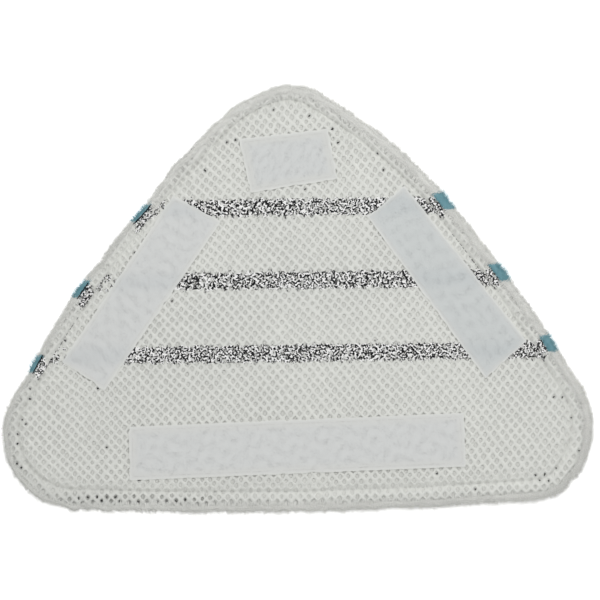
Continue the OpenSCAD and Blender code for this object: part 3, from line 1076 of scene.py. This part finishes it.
# ---------------- loop patches
def patch_corners(name):
    """The patch's four corners, anticlockwise from its first long side."""
    h = hull(node_points(name))
    while len(h) > 4:
        turn = [abs(np.cross(h[k] - h[k - 1], h[(k + 1) % len(h)] - h[k])) for k in range(len(h))]
        h = np.delete(h, int(np.argmin(turn)), 0)
    sides = np.linalg.norm(np.roll(h, -1, 0) - h, axis=1)
    return np.roll(h, -1, 0) if sides[0] + sides[2] < sides[1] + sides[3] else h


def bilinear(corners, u, v):
    a, b, c, d = corners
    u, v = u[..., None], v[..., None]
    return (a * (1 - u) + b * u) * (1 - v) + (d * (1 - u) + c * u) * v


def side_directions(corners):
    return unit(np.roll(corners, -1, 0) - corners)


def edge_distance(corners, x, y):
    """Distance inside the patch's nearest edge."""
    best = np.full(x.shape, 1e9)
    for a, t in zip(corners, side_directions(corners)):
        best = np.minimum(best, (y - a[1]) * t[0] - (x - a[0]) * t[1])
    return best


TAPE_IN = [-0.5, 0, 0.7, 1.5, 2.0, 2.6, 3.4, 5.0, 8.0]
TAPE_UP = [7.10, 7.32, 7.58, 7.67, 7.66, 7.71, 7.79, 7.90, 7.95]


def patch_level(corners, x, y):
    """Height of the tape's top."""
    m = edge_distance(corners, x, y)
    return np.interp(m, TAPE_IN, TAPE_UP) + lift(x, y)


def patch_pieces(which, seed):
    rng = np.random.default_rng(seed)
    corners = patch_corners(f"{which}_loop_patch")
    long = np.linalg.norm(corners[1] - corners[0])
    wide = np.linalg.norm(corners[3] - corners[0])

    def spaced(size, fine=0.55, coarse=1.6):
        edge = np.arange(0, 6.0, fine)
        inner = np.linspace(6.0, size - 6.0, max(3, int((size - 12) / coarse)))
        return np.unique(np.round(np.concatenate([edge, inner, size - edge]), 4)) / size

    u, v = np.meshgrid(spaced(long), spaced(wide), indexing="ij")
    p = bilinear(corners, u, v)
    fray = plane_noise(seed + 1, 3, 9)
    x0, y0 = p[..., 0], p[..., 1]
    inside = edge_distance(corners, x0, y0)
    p = p + unit(p - corners.mean(0)) * (0.24 * fray(x0, y0) * np.clip(1 - inside / 3, 0, 1))[..., None]
    x, y = p[..., 0], p[..., 1]
    top = patch_level(corners, x0, y0) + 0.05 * fray(x, y)
    rows, cols = x.shape
    verts = two_sided(x, y, top, TAPE_UNDER + lift(x, y))
    index = np.arange(rows * cols).reshape(rows, cols)
    under = index + rows * cols
    rimline = np.concatenate([index[:-1, 0], index[-1, :-1], index[:0:-1, -1], index[0, :0:-1]])
    after = np.roll(rimline, -1)
    wall = np.stack([rimline, after, after + rows * cols, rimline + rows * cols], -1)
    faces = [grid_faces(index), grid_faces(under)[:, ::-1], wall[:, ::-1]]
    material = MAT_TAPES[which]
    first, last = (0.5, 3.6) if which in ("left", "right") else (2.2, 6.4)
    inside = inside.ravel()
    normals = np.zeros_like(verts)
    normals[:rows * cols, 2] = 1
    tape = mesh_piece(
        f"{which}_patch_tape", [(verts, faces, normals)], material, "loop_tape", [f"{which}_loop_patch"],
        across=slanted(*verts[:, :2].T), brushed=np.tile(step(inside, first, last), 2),
        # edge: where the painted highlight along the tape's cut edge lies
        edge=np.tile(1 - step(inside, 0.2, 1.3), 2),
    )

    # The brushed loops
    pitch = 0.86
    nu, nv = int((long - 5) / pitch), int((wide - 5) / pitch)
    start_u, start_v = 2.6 / long, 2.6 / wide
    gu, gv = np.meshgrid(np.linspace(start_u, 1 - start_u, nu), np.linspace(start_v, 1 - start_v, nv))
    q = bilinear(corners, gu.ravel(), gv.ravel()) + rng.normal(0, 0.28, (nu * nv, 2))
    m = edge_distance(corners, *q.T)
    q = q[m + rng.normal(0, 0.4, len(m)) > 3.6]
    n = len(q)
    z = patch_level(corners, *q.T)
    turn = rng.uniform(0, 2 * pi, n)
    size = rng.uniform(0.45, 0.9, n)
    k = np.linspace(-1, 1, 5)
    arch = 1 - k ** 2
    sway = [0.25 * rng.normal(0, 1, (n, 1)) * arch for _ in range(2)]
    z = z[:, None] - 0.05 + (0.08 + 0.03 * rng.uniform(0, 1, (n, 1))) * arch
    up = np.tile([0.0, 0.0, 1.0], (n, 1))
    loops = bits(*q.T, turn, size, k, z, 0.055, 3, sway, up)
    nap = mesh_piece(
        f"{which}_patch_loops", [loops], material, "loop_tape", [f"{which}_loop_patch"],
        across=slanted(*loops[0][:, :2].T), brushed=np.ones(len(loops[0])),
    )
    return tape, nap, corners


# ---------------- stitches
def stitch_tubes(points, heights, radius, sink, rise):
    """One tube for each stitch along a closed run of points, rising in its middle and diving into a
    hole at both ends, or the other way up where sink and rise are negative."""
    a, b = points, np.roll(points, -1, 0)
    za, zb = heights, np.roll(heights, -1)
    k = np.array([0.03, 0.09, 0.22, 0.5, 0.78, 0.91, 0.97])
    shape = np.array([-sink, -0.1 * sink, rise * 0.8, rise, rise * 0.8, -0.1 * sink, -sink])
    xy = a[:, None] * (1 - k)[:, None] + b[:, None] * k[:, None]
    z = za[:, None] * (1 - k) + zb[:, None] * k + shape[None]
    return tubes(np.concatenate([xy, z[..., None]], -1), radius, 6)


def thread_piece(name, node_name, *stitches):
    return mesh_piece(name, [stitch_tubes(*stitches)], MAT_THREAD, "sewing_thread", [node_name])


for i, which in enumerate(PATCHES):
    tape, nap, corners = patch_pieces(which, 110 + 10 * i)
    side = side_directions(corners)
    before = np.roll(side, 1, 0)
    seam = corners + (side - before) * PATCH_SEAM / np.abs(np.cross(side, before))[:, None]
    length = np.linalg.norm(np.roll(seam, -1, 0) - seam, axis=1).sum()
    pts = resample(seam, int(round(length / STITCH)))[0]
    z = patch_level(corners, *pts.T)
    thread = thread_piece(f"{which}_patch_thread", f"{which}_patch_stitching", pts, z, 0.10, 0.4, 0.02)

stitch_s = np.linspace(0, perimeter, int(perimeter / STITCH), endpoint=False)
stitch_xy = flat_place(stitch_s, at_loop(groove, stitch_s))
stitch_z = net_under(*stitch_xy.T, *locate(*stitch_xy.T)) + NET_T * 0.58 - 0.08
needle = thread_piece(
    "topstitch_needle_stitches", "topstitch_needle_thread", stitch_xy, stitch_z, 0.12, 0.4, 0.03
)
bobbin = thread_piece(
    "topstitch_bobbin_stitches", "topstitch_bobbin_thread",
    stitch_xy, np.full(len(stitch_s), BOBBIN_Z), 0.15, -0.4, -0.05,
)
joining = thread_piece(
    "joining_seam_stitches", "joining_seam_thread",
    flat_place(stitch_s, at_loop(rim, stitch_s) + 2.2), np.full(len(stitch_s), JOINING_Z), 0.15, 0.4, 0.05,
)


# ---------------- floor, light, camera
def floor(half):
    mesh = bpy.data.meshes.new("floor")
    corners = [(-half, -half, 0), (half, -half, 0), (half, half, 0), (-half, half, 0)]
    mesh.from_pydata(corners, [], [(0, 1, 2, 3)])
    m, _, shader, _ = new_material("white_floor", 0.9, 0.0, 0.0)
    shader.inputs["Base Color"].default_value = (0.95, 0.95, 0.95, 1)
    shader.inputs["Emission Color"].default_value = (1, 1, 1, 1)
    shader.inputs["Emission Strength"].default_value = 0.6
    mesh.materials.append(m)
    add_object("floor", mesh)


floor(3)
world = bpy.data.worlds.new("studio")
world.use_nodes = True
sky = world.node_tree
height = sky.nodes.new("ShaderNodeSeparateXYZ")
sky.links.new(sky.nodes.new("ShaderNodeTexCoord").outputs["Generated"], height.inputs[0])
# White down by the floor, so that the floor's far edge doesn't show, and dimmer overhead
glow = ramp(sky, height.outputs["Z"], [(0.10, (1, 1, 1)), (0.45, (0.53, 0.53, 0.53))])
sky.links.new(glow, sky.nodes["Background"].inputs["Color"])
scene.world = world


def area_light(name, place_m, energy, size):
    data = bpy.data.lights.new(name, "AREA")
    data.energy = energy
    data.size = size
    light = add_object(name, data)
    light.location = place_m
    light.rotation_euler = (-Vector(place_m)).to_track_quat("-Z", "Y").to_euler()


area_light("key", (0.13, 0.42, 0.83), 3.5, 0.7)

CAMERA_X, CAMERA_Y, CAMERA_Z = 1.07, -0.51, 2500.0
VIEW_Z, VIEW_WIDTH = 7.0, 324.3     # the width that the camera sees at this height
SENSOR = 36.0
camera_data = bpy.data.cameras.new("camera")
camera_data.sensor_width = SENSOR
camera_data.lens = SENSOR * (CAMERA_Z - VIEW_Z) / VIEW_WIDTH
camera_data.clip_end = 20
camera = add_object("camera", camera_data)
camera.location = (CAMERA_X * MM, CAMERA_Y * MM, CAMERA_Z * MM)
scene.camera = camera
scene.view_settings.view_transform = "Standard"
